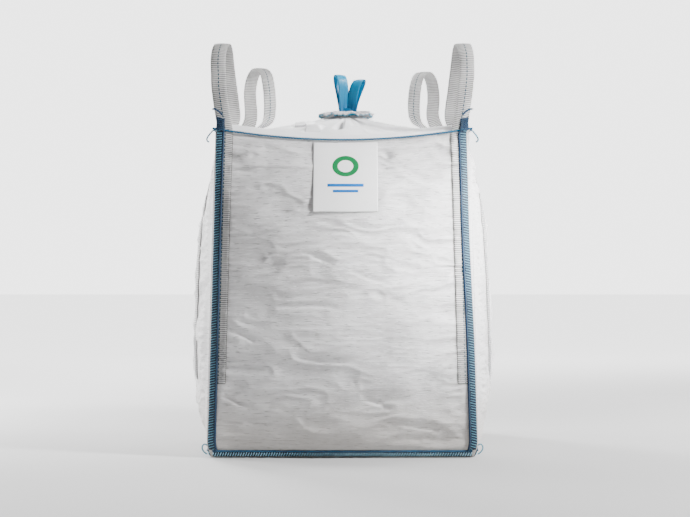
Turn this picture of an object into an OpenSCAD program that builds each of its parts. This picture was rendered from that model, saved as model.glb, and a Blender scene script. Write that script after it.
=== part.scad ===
// Bulk bag (flexible intermediate bulk container): filled, tied shut and standing upright.
// Millimetres, +Z up. The origin is on the floor under the middle of the bag, and the front faces -Y.
// Four woven side panels and a base panel are overlocked together round a block of bulk product.
// A skirt is sewn to the top edge and gathered at a tied neck. Each corner has a webbing loop.

/* [Bag] */
// Distance between the corner seams at the floor
base_w = 904; // [880:4:920]
// Distance between the corner seams at the top edge
top_w = 848; // [830:2:866]
// Height of the top corners above the floor
bag_h = 1100; // [1090:2:1110]
// How far the middle of a side stands out beyond its corners where it is fullest
bulge = 88; // [70:2:96]
// How far the middle of a top edge is drawn in by the gathered skirt
draw_in = 30; // [20:2:36]
// How far the middle of a top edge sags below its corners
edge_sag = 36; // [30:1:40]
// Thickness of the cloth solids
cloth = 2; // [1.6:0.1:2.2]

/* [Top closure] */
// Sideways place of the neck
neck_x = 12; // [0:1:20]
// Radius of the gathered neck
neck_r = 36; // [32:1:38]
// Radius of the ruffle above the tie
ruffle_r = 97; // [84:1:100]
// Height of the skirt where it meets the neck
neck_z = 1170; // [1166:1:1174]
// Width of the tape of the bow
tape_w = 36; // [28:1:40]

/* [Webbing] */
// Width of the lifting webbing
web_w = 50; // [44:1:52]
// Thickness of the lifting webbing
web_t = 2.4; // [2:0.1:2.6]
// Height of the lower end of the sewn legs
leg_foot_z = 247; // [200:1:320]
// Distance from the middle of the bag to a leg on a side panel
side_leg_y = 240; // [225:5:255]

/* [Seams] */
// Width of the overlocked seam along a corner
seam_w = 28; // [20:1:30]
// Thickness of an overlocked seam
seam_t = 4; // [3:0.2:4.4]
// Diameter of the chain stitch round the top edge
chain_d = 4; // [3:0.2:4.4]
// Diameter of the loose thread ends
tail_d = 3.6; // [3:0.1:3.8]
// Diameter of the twisted thread bundles above the corners
tail_bundle_d = 6.4; // [4:0.2:6.4]

/* [Document label] */
// Width of the label
label_w = 214; // [190:2:220]
// Sideways place of the middle of the label
label_x = 10; // [0:1:20]
// Height of the lower edge of the label
label_foot_z = 815; // [800:5:840]

/* [Hidden] */

$fn = 48;
FRONT = 0;
RIGHT = 1;
BACK = 2;
LEFT = 3;

// Colours
CLOTH = [0.90, 0.90, 0.88];
GRAIN = [0.80, 0.74, 0.60];
WEB = [0.82, 0.82, 0.80];
THREAD_BLUE = [0.12, 0.32, 0.52];
TAPE_BLUE = [0.05, 0.50, 0.76];
THREAD_GREY = [0.35, 0.36, 0.40];
LABEL_WHITE = [0.96, 0.96, 0.96];
MARK_GREEN = [0.05, 0.50, 0.33];
MARK_BLUE = [0.05, 0.42, 0.70];

// Layers on the outside of the cloth, as distances from it
gap = 0.6;
skin_gap = 1.4;
web_in = skin_gap;
web_out = web_in + web_t;
stitch_w = 2;
stitch_in = web_out + 0.5;
stitch_out = stitch_in + 0.4;
seam_in = stitch_out + gap;
seam_out = seam_in + seam_t;
chain_out = web_out + 3 * gap + chain_d / 2;

// The lower edge turns in over this height, and by this much
toe_h = 60;
toe_in = 16;
// Height at which the sides are fullest, and how quickly they close above and below it
belly_z = 450;
belly_up = 3.2;
belly_down = 2.7;
// Height over which the sag of the top edge fades out
sag_h = 260;

// Rows and columns of the cloth grids
ROWS = [cloth + gap, 12, 30, 60, 100, 150, 220, 300, 400, 500, 600, 700, 800, 880, 940, 990, 1030, 1060, 1082];
HALF_COLS = [0.17, 0.34, 0.5, 0.62, 0.75, 0.88, 0.94, 1];
COLS = concat([for (i = [len(HALF_COLS) - 1:-1:0]) -HALF_COLS[i]], [0], HALF_COLS);
last_col = len(COLS) - 1;
dome_steps = 8;

function ease(t) = let (u = min(1, max(0, t))) u * u * (3 - 2 * u);
function mix(a, b, t) = a + (b - a) * t;
function unit(v) = v / norm(v);
function turn(p, side) = let (c = cos(90 * side), s = sin(90 * side)) [c * p.x - s * p.y, s * p.x + c * p.y, p.z];
function flip_x(p) = [-p.x, p.y, p.z];

// Shape of the filled bag: half-distance between corners, stand-out of the middle, and sag, at a height
function corner(z) = base_w / 2 + (top_w - base_w) / 2 * z / bag_h - toe_in * pow(max(0, 1 - z / toe_h), 2);
function belly(z) = z > belly_z
    ? bulge - (bulge + draw_in) * pow((z - belly_z) / (bag_h - belly_z), belly_up)
    : bulge * (1 - pow((belly_z - z) / belly_z, belly_down));
function sag(z) = edge_sag * ease((z - bag_h + sag_h) / sag_h);

// A point of the front face: x across it, z up it, out its distance outside the cloth
function on_face(x, z, out = 0) =
    let (full = 1 - pow(x / corner(z), 2)) [x, -(corner(z) + belly(z) * full + out), z - sag(z) * full];
// The same, with w running from -1 to 1 between the corners, drawn in by t
function across(w, z, t = 0) =
    let (full = 1 - w * w) [w * (corner(z) - t), -(corner(z) - t + belly(z) * full), z - sag(z) * full];
// A closed ring of points round all four sides
function ring_at(z, t = 0) =
    [for (side = [FRONT:LEFT], i = [0:last_col - 1]) turn(across(COLS[i], z, t), side)];

// Points along a smooth curve through keys, per to each stretch
function spline(k, t) =
    let (n = len(k) - 1, i = min(floor(t), n - 1), f = t - i,
         a = k[max(i - 1, 0)], b = k[i], c = k[i + 1], d = k[min(i + 2, n)])
    (2 * b + (c - a) * f + (2 * a - 5 * b + 4 * c - d) * f * f + (3 * b - a - 3 * c + d) * f * f * f) / 2;
function smooth(keys, per) = [for (i = [0:per * (len(keys) - 1)]) spline(keys, i / per)];
function xyz(p) = [p.x, p.y, p.z];
function along(p, i) = unit(xyz(p[min(i + 1, len(p) - 1)]) - xyz(p[max(i - 1, 0)]));

// Two triangles for each cell between rings i and j of n points. From point back_at on, a ring runs
// back along the other face of a sheet, so its cells are cut along their other diagonal.
function band(i, j, n, back_at) = [
    for (k = [0:n - 1], half = [0, 1])
        let (l = (k + 1) % n, a = i * n + k, b = i * n + l, c = j * n + l, d = j * n + k)
        k < back_at ? (half == 0 ? [a, b, c] : [a, c, d]) : (half == 0 ? [a, b, d] : [b, c, d])];
// Triangles that close the ring of n points that starts at point s, laced from side to side
function cap(s, n) = [
    for (k = [0:n / 2 - 2], half = [0, 1])
        let (a = s + k, b = s + n - 1 - k)
        half == 0 ? [a, a + 1, b] : [a + 1, b - 1, b]];
function reversed(faces) = [for (f = faces) [f[0], f[2], f[1]]];
// Six times the volume that triangular faces hold, negative when they look inwards
function volume6(p, faces) = [for (f = faces) p[f[0]] * cross(p[f[2]], p[f[1]])] * [for (f = faces) 1];
// A closed solid through a list of rings, which run either way round.
// It ends in caps, or joins up with its own start.
module loft(rings, joined = false, sheet = false) {
    n = len(rings[0]);
    back_at = sheet ? n / 2 : n;
    m = len(rings);
    points = [for (r = rings) each r];
    sides = [for (i = [0:m - 2]) each band(i, i + 1, n, back_at)];
    ends = joined ? band(m - 1, 0, n, back_at) : concat(reversed(cap(0, n)), cap((m - 1) * n, n));
    faces = concat(sides, ends);
    polyhedron(points, volume6(points, faces) > 0 ? faces : reversed(faces), convexity = 6);
}

// A sheet between two grids of points that have the same rows and columns
module sheet(outer, inner)
    loft([for (r = [0:len(outer) - 1]) sheet_ring(outer[r], inner[r])], sheet = true);
function sheet_ring(a, b) = concat(a, [for (i = [len(b) - 1:-1:0]) b[i]]);

// A flat strap through stations [x, y, z, yaw]: yaw is the direction of its width, seen from above
function strap_ring(p, i, w, t) =
    let (dir = along(p, i), yaw = [cos(p[i][3]), sin(p[i][3]), 0],
         side = unit(yaw - dir * (dir * yaw)) * w / 2, up = unit(cross(side, dir)) * t / 2, c = xyz(p[i]))
    [c + side + up, c - side + up, c - side - up, c + side - up];
// A round thread through points
function thread_ring(p, i, d, n) =
    let (dir = along(p, i), a = unit(cross(dir, [0.1, 1, 0.2])), b = cross(dir, a))
    [for (k = [0:n - 1]) p[i] + (a * cos(360 * k / n) + b * sin(360 * k / n)) * d / 2];
module thread(p, d, n = 8) loft([for (i = [0:len(p) - 1]) thread_ring(p, i, d, n)]);

// ---- Panels and contents ----
PANEL_ROWS = concat(ROWS, [bag_h]);
panel_end = 0.999;
function panel_row(z, t) = [for (w = COLS) across(panel_end * w, z, t)];
module side_panel(side)
    color(CLOTH) rotate(90 * side)
        sheet([for (z = PANEL_ROWS) panel_row(z, 0)], [for (z = PANEL_ROWS) panel_row(z, cloth)]);

module base_panel()
    color(CLOTH) linear_extrude(cloth) square(2 * corner(0), center = true);

// The skirt runs from the top edge, at s = 0, over the contents to the neck, at s = 1
neck_rise = 18;
// The skirt rises at once behind the low middle of each edge, and late from the high corners
function dome_z(edge_z, s) =
    let (p = 0.6 + 1.6 * min(1, max(0, bag_h - edge_z) / 36))
        mix(edge_z, neck_z - neck_rise, 1 - pow(1 - s, p)) + neck_rise * pow(s, 4);
function neck_point(p, r, z) = let (a = atan2(p.y, p.x)) [neck_x + r * cos(a), r * sin(a), z];
function dome_ring(s, t, drop) =
    [for (e = ring_at(bag_h, t))
        let (n = neck_point(e, neck_r + 2, 0)) [mix(e.x, n.x, s), mix(e.y, n.y, s), dome_z(e.z, s) - drop]];

module bulk_fill() {
    side_t = cloth + gap;
    drop = 7;
    color(GRAIN) loft(concat(
        [for (z = concat([side_t], [for (i = [1:len(ROWS) - 1]) ROWS[i]])) ring_at(z, side_t)],
        [for (i = [0:dome_steps - 1]) dome_ring(i / dome_steps, side_t, drop)]));
}

// ---- Skirt and closure ----
// The ruffle's edge waves up and down and in and out; k goes from 0 at the neck to 1 at the edge
wave_z = 2.5;
wave_r = 5;
function ruffle_ring(k, r, z) =
    [for (e = ring_at(bag_h))
        let (a = atan2(e.y, e.x))
        neck_point(e, r + k * wave_r * sin(7 * a + 40), z + k * wave_z * sin(11 * a))];
throat_r = 8;
ruffle_z = neck_z + 17;
droop = 12;
module top_skirt() {
    outer = [for (i = [0:dome_steps]) dome_ring(i / dome_steps, 0, -gap - cloth)];
    inner = [for (i = [dome_steps:-1:0]) dome_ring(i / dome_steps, 0, -gap)];
    neck_top = neck_z + gap + cloth;
    color(CLOTH) loft(concat(
        outer,
        [ruffle_ring(0, neck_r, neck_top + 2), ruffle_ring(0, neck_r, ruffle_z - 2)],
        [for (k = [0.35, 0.7, 1]) ruffle_ring(k, mix(neck_r, ruffle_r, k), ruffle_z - droop * k * k)],
        [for (k = [1, 0.7, 0.35]) ruffle_ring(k, mix(neck_r, ruffle_r, k), ruffle_z + 5 - droop * k * k)],
        [ruffle_ring(0, throat_r, ruffle_z + 3), ruffle_ring(0, throat_r, neck_top - 4)],
        inner), joined = true);
}
module skirt_hem() {
    hem_in = ruffle_r + 0.8;
    hem_out = ruffle_r + 3;
    color(THREAD_BLUE) loft([
        ruffle_ring(1, hem_in, ruffle_z - droop - 2), ruffle_ring(1, hem_out, ruffle_z - droop - 1),
        ruffle_ring(1, hem_out, ruffle_z - droop + 3), ruffle_ring(1, hem_in, ruffle_z - droop + 4)], joined = true);
}

// The tape is wound round the neck between the skirt and the ruffle, and knotted above it
tie_r = 4;
module neck_tie()
    color(TAPE_BLUE) translate([neck_x, 0, neck_z + 9]) rotate_extrude()
        translate([neck_r + tie_r + 1, 0]) circle(tie_r);

KNOT = [17, -6, neck_z + 31];
module tie_knot()
    color(TAPE_BLUE) hull() for (dx = [-13, 13]) translate(KNOT + [dx, 0, 0]) sphere(6, $fn = 16);

// A bow loop: up the front, over and down the back, leaning sideways by lean
function bow_path(foot, lean, h, deep, yaw) = [
    for (i = [0:16])
        let (a = 180 * i / 16, up = h * pow(sin(a), 0.7), back = -deep * sin(2 * a) / 2 - 3 * cos(a))
        [foot.x + lean * up / h - back * sin(yaw), foot.y + back * cos(yaw), foot.z + up, yaw]];
module bow_loop(path) {
    n = len(path) - 1;
    color(TAPE_BLUE) loft([for (i = [0:n])
        strap_ring(path, i, tape_w * mix(0.5, 1, ease(min(i, n - i) / 4)), 1)]);
}
bow_z = neck_z + 45;
BOW_LEFT = bow_path([5, -6, bow_z], -16, 110, 26, 14);
BOW_RIGHT = bow_path([31, -6, bow_z], 30, 92, 26, -14);
module bow_loop_left() bow_loop(BOW_LEFT);
module bow_loop_right() bow_loop(BOW_RIGHT);

// ---- Overlocked seams ----
// A strip on the front face between x values given from the left corner, and between two layers
function strip_ring(z, from, to, lo, hi) =
    let (a = -(corner(z) - from), b = -(corner(z) - to))
    [on_face(a, z, lo), on_face(b, z, lo), on_face(b, z, hi), on_face(a, z, hi)];
seam_start = 3;
seam_foot_z = 14;
seam_head = 34;
module corner_seam(mirrored, back)
    color(THREAD_BLUE) rotate(back ? 180 : 0) mirror([mirrored ? 1 : 0, 0, 0]) {
        top = bag_h - chain_d / 2 - 6;
        loft([for (z = concat([seam_foot_z], [for (i = [2:len(ROWS) - 1]) ROWS[i]], [top]))
            strip_ring(z, seam_start, seam_start + seam_w, seam_in, seam_out)]);
        loft([for (rise = [3, seam_head])
            [for (p = strip_ring(bag_h, seam_start, seam_w, seam_in, seam_out)) p + [0, 0, rise]]]);
    }

base_seam_h = 22;
base_seam_end = 24;
module base_seam(side)
    color(THREAD_BLUE) rotate(90 * side)
        loft([for (w = COLS)
            let (x = (corner(0) - base_seam_end) * w, lo = 4, hi = lo + base_seam_h,
                 near = skin_gap, far = near + seam_t)
            [on_face(x, lo, near), on_face(x, hi, near), on_face(x, hi, far), on_face(x, lo, far)]]);

function chain_ring(p, i) =
    let (n = len(p), dir = unit(p[(i + 1) % n] - p[(i + n - 1) % n]), a = unit(cross(dir, [0, 0, 1])))
    [for (k = [0:7]) p[i] + (a * cos(45 * k) + cross(a, dir) * sin(45 * k)) * chain_d / 2];
module top_seam() {
    path = ring_at(bag_h - chain_d, -chain_out);
    color(THREAD_BLUE) loft([for (i = [0:len(path) - 1]) chain_ring(path, i)], joined = true);
}

// ---- Webbing ----
// Heights of the rows of a leg
LEG_ROWS = concat([leg_foot_z], [for (z = ROWS) if (z > leg_foot_z + 20) z]);
leg_edge = 2;
// A leg on the front or back panel stands beside the corner
module corner_leg(side, mirrored)
    color(WEB) rotate(90 * side) mirror([mirrored ? 1 : 0, 0, 0])
        loft([for (z = concat(LEG_ROWS, [bag_h]))
            strip_ring(z, leg_edge, leg_edge + web_w, web_in, web_out)]);
function side_leg_ring(z, out_add = 0, lift = 0) =
    let (a = -side_leg_y - web_w / 2, b = -side_leg_y + web_w / 2, lo = web_in + out_add, hi = web_out + out_add,
         up = [0, 0, lift])
    [on_face(a, z, lo) + up, on_face(b, z, lo) + up, on_face(b, z, hi) + up, on_face(a, z, hi) + up];
// A leg on a side panel stands side_leg_y from its middle, and turns in over the top edge
module side_leg(side, mirrored)
    color(WEB) rotate(90 * side) mirror([mirrored ? 1 : 0, 0, 0])
        loft(concat([for (z = concat(LEG_ROWS, [bag_h])) side_leg_ring(z)],
            [side_leg_ring(bag_h, -1, 8), side_leg_ring(bag_h, -4, 16)]));

// Thread lines down both edges of a leg and across its foot
function line_ring(x, z, w) =
    [on_face(x - w / 2, z, stitch_in), on_face(x + w / 2, z, stitch_in),
     on_face(x + w / 2, z, stitch_out), on_face(x - w / 2, z, stitch_out)];
stitch_inset = 4;
module stitch_lines(mid_from_corner, mid_fixed) {
    z_low = leg_foot_z + 5;
    function mid(z) = mid_from_corner > 0 ? -(corner(z) - mid_from_corner) : -mid_fixed;
    for (dx = [-1, 1])
        loft([for (z = concat([z_low + stitch_w + 1], [for (i = [1:len(LEG_ROWS) - 1]) LEG_ROWS[i]]))
            line_ring(mid(z) + dx * (web_w / 2 - stitch_inset), z, stitch_w)]);
    loft([for (z = [z_low - stitch_w / 2, z_low + stitch_w / 2])
        line_ring(mid(z), z, web_w - 2 * stitch_inset)]);
}
module leg_stitching(side)
    color(THREAD_GREY) rotate(90 * side) for (m = [0, 1]) mirror([m, 0, 0])
        if (side % 2 == 0)
            stitch_lines(leg_edge + web_w / 2, 0);
        else
            stitch_lines(0, side_leg_y);

// Free part of each loop, from the foot on the front or back panel to the foot on the side panel.
// Keys are [x, y, z, yaw]; the ends are the hinge points.
FRONT_LOOP = [
    [-398, -420, 1130, 0], [-406, -421, 1180, 0], [-414, -422, 1250, 0], [-416, -413, 1332, 0],
    [-410, -382, 1377, 2], [-404, -338, 1389, 4], [-400, -292, 1370, 6], [-396, -262, 1320, 8],
    [-388, -248, 1250, 10], [-380, -243, 1190, 14], [-376, -241, 1150, 24], [-382, -240, 1118, 50]];
BACK_LEFT_LOOP = [
    [-396, 420, 1130, 0], [-370, 424, 1162, 6], [-354, 429, 1212, 14], [-358, 424, 1300, 22],
    [-346, 396, 1360, 25], [-318, 345, 1388, 25], [-290, 290, 1362, 25], [-276, 252, 1300, 26],
    [-272, 242, 1230, 28], [-278, 240, 1184, 38], [-308, 240, 1153, 68], [-382, 240, 1122, 90]];
BACK_RIGHT_LOOP = [
    [-396, 420, 1130, 0], [-366, 424, 1162, 6], [-347, 429, 1212, 14], [-350, 424, 1290, 22],
    [-338, 396, 1348, 25], [-311, 345, 1374, 25], [-283, 290, 1348, 25], [-269, 252, 1290, 26],
    [-265, 242, 1226, 28], [-272, 240, 1184, 38], [-304, 240, 1153, 68], [-382, 240, 1122, 90]];
foot_w = 20;
module lifting_loop(keys, mirrored) {
    per = 3;
    path = smooth(keys, per);
    n = len(path) - 1;
    // The foot narrows to the hinge so that it turns clear of the sewn leg
    function width(i) = mix(foot_w, web_w, ease(min(i, n - i) / per));
    color(WEB) mirror([mirrored ? 1 : 0, 0, 0])
        loft([for (i = [0:n]) strap_ring(path, i, width(i), web_t)]);
}

// ---- Document label ----
label_in = skin_gap;
label_t = 1.2;
label_head_z = 1084;
LABEL_ROWS = [label_foot_z, 850, 890, 930, 970, 1010, 1040, 1065, label_head_z];
label_cols = 6;
function label_row(z, out) =
    [for (i = [0:label_cols]) on_face(label_x + label_w * (i / label_cols - 0.5), z, out)];
module document_label()
    color(LABEL_WHITE)
        sheet([for (z = LABEL_ROWS) label_row(z, label_in + label_t)], [for (z = LABEL_ROWS) label_row(z, label_in)]);

// A plain ring over two bars, printed on the label
mark_lo = label_in + label_t + 0.3;
mark_hi = mark_lo + 0.3;
ring_z = 990;
ring_r = 44;
ring_hole_r = 26;
function mark_circle(r, out) =
    [for (k = [0:31]) on_face(label_x + r * cos(11.25 * k), ring_z + r * sin(11.25 * k), out)];
module label_ring()
    color(MARK_GREEN) loft([
        mark_circle(ring_r, mark_lo), mark_circle(ring_r, mark_hi),
        mark_circle(ring_hole_r, mark_hi), mark_circle(ring_hole_r, mark_lo)], joined = true);
function mark_row(z, w, out) =
    [for (i = [0:label_cols]) on_face(label_x + w * (i / label_cols - 0.5), z, out)];
module label_bars()
    color(MARK_BLUE) for (bar = [[904, 120, 12], [882, 84, 10]])
        sheet([for (z = [bar[0], bar[0] + bar[2]]) mark_row(z, bar[1], mark_hi)],
            [for (z = [bar[0], bar[0] + bar[2]]) mark_row(z, bar[1], mark_lo)]);

// ---- Loose thread ends, each along hand-laid points ----
TAIL_UP = [
    [-400, -436, 1139], [-405, -436, 1145], [-411, -436, 1151], [-418, -436, 1156],
    [-426, -436, 1159], [-434, -437, 1160]];
TAIL_HOOK = [
    [-425, -433, 1091], [-433, -433, 1087], [-441, -433, 1078], [-447, -433, 1070], [-451, -434, 1063],
    [-452, -434, 1057], [-449, -434, 1052], [-444, -434, 1050]];
TAIL_BASE = [
    [-450, -444, 40], [-456, -446, 44], [-462, -447, 43], [-466, -448, 37], [-466, -448, 29],
    [-462, -448, 21], [-456, -447, 15], [-450, -446, 11]];
module tail(points, mirrored, d = tail_d)
    color(THREAD_BLUE) thread([for (p = points) mirrored ? flip_x(p) : p], d);

module front_panel() side_panel(FRONT);
module right_panel() side_panel(RIGHT);
module back_panel() side_panel(BACK);
module left_panel() side_panel(LEFT);

base_panel();
front_panel();
right_panel();
back_panel();
left_panel();
bulk_fill();
top_skirt();
skirt_hem();
neck_tie();
tie_knot();
bow_loop_left();
bow_loop_right();
corner_seam(false, false);  // corner_seam_front_left
corner_seam(true, false);  // corner_seam_front_right
corner_seam(false, true);  // corner_seam_back_right
corner_seam(true, true);  // corner_seam_back_left
base_seam(FRONT);  // base_seam_front
base_seam(RIGHT);  // base_seam_right
base_seam(BACK);  // base_seam_back
base_seam(LEFT);  // base_seam_left
top_seam();
corner_leg(FRONT, false);  // leg_front_left
corner_leg(FRONT, true);  // leg_front_right
side_leg(RIGHT, false);  // leg_right_front
side_leg(RIGHT, true);  // leg_right_back
corner_leg(BACK, false);  // leg_back_right
corner_leg(BACK, true);  // leg_back_left
side_leg(LEFT, false);  // leg_left_back
side_leg(LEFT, true);  // leg_left_front
leg_stitching(FRONT);  // leg_stitching_front
leg_stitching(RIGHT);  // leg_stitching_right
leg_stitching(BACK);  // leg_stitching_back
leg_stitching(LEFT);  // leg_stitching_left
lifting_loop(FRONT_LOOP, false);  // lifting_loop_front_left
lifting_loop(FRONT_LOOP, true);  // lifting_loop_front_right
lifting_loop(BACK_RIGHT_LOOP, true);  // lifting_loop_back_right
lifting_loop(BACK_LEFT_LOOP, false);  // lifting_loop_back_left
document_label();
label_ring();
label_bars();
tail(TAIL_UP, false, tail_bundle_d);  // tail_up_left
tail(TAIL_HOOK, false);  // tail_hook_left
tail(TAIL_UP, true, tail_bundle_d);  // tail_up_right
tail(TAIL_HOOK, true);  // tail_hook_right
tail(TAIL_BASE, false);  // tail_base_left
tail(TAIL_BASE, true);  // tail_base_right
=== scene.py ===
import math

import bpy
import numpy as np
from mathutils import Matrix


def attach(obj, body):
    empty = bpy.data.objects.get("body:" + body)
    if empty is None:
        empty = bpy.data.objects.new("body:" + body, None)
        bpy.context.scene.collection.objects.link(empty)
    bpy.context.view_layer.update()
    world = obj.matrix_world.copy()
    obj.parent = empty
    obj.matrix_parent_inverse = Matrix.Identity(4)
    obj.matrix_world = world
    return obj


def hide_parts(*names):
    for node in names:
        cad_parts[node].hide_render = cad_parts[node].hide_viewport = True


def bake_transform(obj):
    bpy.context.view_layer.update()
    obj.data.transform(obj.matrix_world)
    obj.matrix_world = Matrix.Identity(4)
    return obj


# The looks of a filled, tied bulk bag. Shapes are worked out in millimetres, in the CAD frame:
# +Z up, the origin on the floor under the middle of the bag, the labelled front facing -Y.
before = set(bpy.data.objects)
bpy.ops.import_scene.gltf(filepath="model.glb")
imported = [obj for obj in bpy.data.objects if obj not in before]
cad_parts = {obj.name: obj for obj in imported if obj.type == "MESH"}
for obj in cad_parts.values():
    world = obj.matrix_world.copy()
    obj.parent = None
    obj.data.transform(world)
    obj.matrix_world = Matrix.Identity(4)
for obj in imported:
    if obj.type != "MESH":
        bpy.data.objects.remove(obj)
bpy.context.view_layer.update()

MM = 0.001
FRONT, RIGHT, BACK, LEFT = range(4)
SIDES = ("front", "right", "back", "left")
TAU = 2 * math.pi

# ---- Camera ----
camera = bpy.data.objects.new("camera", bpy.data.cameras.new("camera"))
bpy.context.scene.collection.objects.link(camera)
camera.location = (0.0083, -5.94, 0.64)
camera.rotation_euler = (math.radians(90), 0, 0)
camera.data.lens = 86.2
camera.data.shift_y = 0.0094
bpy.context.scene.camera = camera


# ---- Small tools ----
def ease(t):
    u = np.clip(t, 0, 1)
    return u * u * (3 - 2 * u)


def noise(u, v, seed):
    """Smooth noise from -1 to 1 with a cell to each unit, the same at each run."""
    cells = np.random.default_rng(seed).uniform(-1, 1, (64, 64))
    i, j = np.floor(u).astype(int), np.floor(v).astype(int)
    f, g = ease(u - i), ease(v - j)
    low = cells[i % 64, j % 64] * (1 - f) + cells[(i + 1) % 64, j % 64] * f
    high = cells[i % 64, (j + 1) % 64] * (1 - f) + cells[(i + 1) % 64, (j + 1) % 64] * f
    return low * (1 - g) + high * g


def ridges(u, v, seed):
    """Noise that makes sharp crests, from -1 to 1."""
    return 1 - 2 * np.abs(noise(u, v, seed)) ** 0.8


def unit(v):
    return v / np.maximum(np.linalg.norm(v, axis=-1, keepdims=True), 1e-9)


def spline(keys, per):
    """Points along a Catmull-Rom curve through keys, per to each stretch."""
    keys = np.asarray(keys, float)
    made = []
    for i in range(len(keys) - 1):
        a, b = keys[max(i - 1, 0)], keys[i]
        c, d = keys[i + 1], keys[min(i + 2, len(keys) - 1)]
        f = (np.arange(per) / per)[:, None]
        curve = (2 * a - 5 * b + 4 * c - d) * f**2 + (3 * b - a - 3 * c + d) * f**3
        made.append((2 * b + (c - a) * f + curve) / 2)
    return np.concatenate(made + [keys[-1:]])


def spaced(points, step):
    """The polyline through points (their first three columns are places) cut into equal steps."""
    points = np.asarray(points, float)
    run = np.concatenate([[0], np.cumsum(np.linalg.norm(np.diff(points[:, :3], axis=0), axis=1))])
    at = np.linspace(0, run[-1], max(2, int(run[-1] / step) + 1))
    return np.stack([np.interp(at, run, points[:, k]) for k in range(points.shape[1])], axis=1), at


def piece(name, points, faces, flat, look, slot, body="bag", replaces=()):
    """A shown piece of the bag from points in mm, with its flat-cut coordinates as a UV map in metres."""
    mesh = bpy.data.meshes.new(name)
    mesh.from_pydata((points * MM).tolist(), [], [tuple(f) for f in faces])
    mesh.update()
    uv = mesh.uv_layers.new(name="flat")
    corners = np.zeros(len(mesh.loops), np.int32)
    mesh.loops.foreach_get("vertex_index", corners)
    uv.data.foreach_set("uv", (np.asarray(flat, float)[corners] * MM).astype(np.float32).ravel())
    mesh.polygons.foreach_set("use_smooth", [True] * len(mesh.polygons))
    mesh.materials.append(look)
    made = bpy.data.objects.new(name, mesh)
    bpy.context.scene.collection.objects.link(made)
    if body:
        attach(made, body)
    if replaces:
        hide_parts(*replaces)
    return made


def loft(rings, flat, closed=False):
    """Points, faces and flat coordinates of a skin through rings (rows, ring points, 3).

    Its ends are capped, or joined up where it is closed."""
    rows, n = rings.shape[:2]
    k = np.arange(n)
    last = rows if closed else rows - 1
    i, j = np.arange(last)[:, None], (np.arange(last)[:, None] + 1) % rows
    faces = np.stack([i * n + k, i * n + (k + 1) % n, j * n + (k + 1) % n, j * n + k], axis=-1).reshape(-1, 4)
    faces = faces.tolist()
    if not closed:
        for start, step in ((0, -1), ((rows - 1) * n, 1)):
            for m in range(n // 2 - 1):
                quad = [start + m, start + m + 1, start + n - 2 - m, start + n - 1 - m]
                faces.append(quad[::step])
    return rings.reshape(-1, 3), faces, flat.reshape(-1, 2)


def sheet(outer, inner, flat, closed=False):
    """A sheet of cloth between two grids of points with the same rows and columns."""
    rings = np.concatenate([outer, inner[:, ::-1]], axis=1)
    return loft(rings, np.concatenate([flat, flat[:, ::-1]], axis=1), closed)


def tube(points, radius, sides=8, twist=0.0, strands=0.0, closed=False):
    """A round thread along points; twist turns for each mm make strands stand out of it."""
    points = np.asarray(points, float)
    if closed:
        direction = unit(np.roll(points, -1, axis=0) - np.roll(points, 1, axis=0))
    else:
        direction = unit(np.gradient(points, axis=0))
    across = unit(np.cross(direction, np.array([0.13, 1, 0.21])))
    up = np.cross(direction, across)
    steps = np.linalg.norm(np.diff(points, axis=0, append=points[-1:]), axis=1)
    run = np.concatenate([[0], np.cumsum(steps)[:-1]])[:, None]
    angle = TAU * np.arange(sides) / sides
    r = radius * (1 + strands * np.cos(3 * angle[None] - TAU * twist * run))
    if not closed:
        r[0] *= 0.6
        r[-1] *= 0.6
    spokes = across[:, None] * np.cos(angle)[None, :, None] + up[:, None] * np.sin(angle)[None, :, None]
    rings = points[:, None] + spokes * r[..., None]
    around = np.abs(angle - math.pi) * radius
    flat = np.stack([np.broadcast_to(around, r.shape), np.broadcast_to(run, r.shape)], axis=-1)
    return loft(rings, flat, closed)


def joined(parts):
    """Several (points, faces, flat) sets as one."""
    points, faces, flat, start = [], [], [], 0
    for p, f, uv in parts:
        points.append(p)
        flat.append(uv)
        faces.extend([tuple(start + v for v in face) for face in f])
        start += len(p)
    return np.concatenate(points), faces, np.concatenate(flat)


# ---- Shape of the filled bag, as in the CAD ----
BAG_H, BASE_HALF, CLOTH_T = 1100, 436, 2
WEB_W, WEB_T, WEB_GAP = 50, 2.4, 1.4
LEG_FOOT, SIDE_LEG = 247, 240
NECK_X, NECK_Z, NECK_R = 12, 1170, 36
DOME_Z = NECK_Z - 18
RUFFLE_Z, RUFFLE_R, DROOP = 1187, 97, 12
LABEL_X, LABEL_W, LABEL_FOOT, LABEL_HEAD = 10, 214, 815, 1084


def corner(z):
    return 452 - 28 * z / BAG_H - 16 * np.maximum(0, 1 - z / 60) ** 2


def belly(z):
    above = 88 - 118 * np.clip((z - 450) / 650, 0, None) ** 3.2
    below = 88 * (1 - np.clip((450 - z) / 450, 0, None) ** 2.7)
    return np.where(z > 450, above, below)


def sag(z):
    return 36 * ease((z - 840) / 260)


def turned(p, side):
    """Points of the front face turned to another side."""
    c, s = ((1, 0), (0, 1), (-1, 0), (0, -1))[side]
    return np.stack([c * p[..., 0] - s * p[..., 1], s * p[..., 0] + c * p[..., 1], p[..., 2]], axis=-1)


def bag_ring(w, z, inset=0.0):
    """A ring round all four sides at one height, where w goes from -1 to 1 across each side."""
    full = 1 - w**2
    half = corner(z) - inset
    one = np.stack([w * half, -(half + belly(z) * full), z - sag(z) * full], axis=-1)
    return np.concatenate([turned(one, side) for side in range(4)])


def dome_rise(s, edge_z):
    """How much of its rise the top has made, s of the way from a point of the top edge to the neck."""
    return 1 - (1 - s) ** (0.6 + np.clip((BAG_H - edge_z) / 22.5, 0, 1.6))


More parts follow.
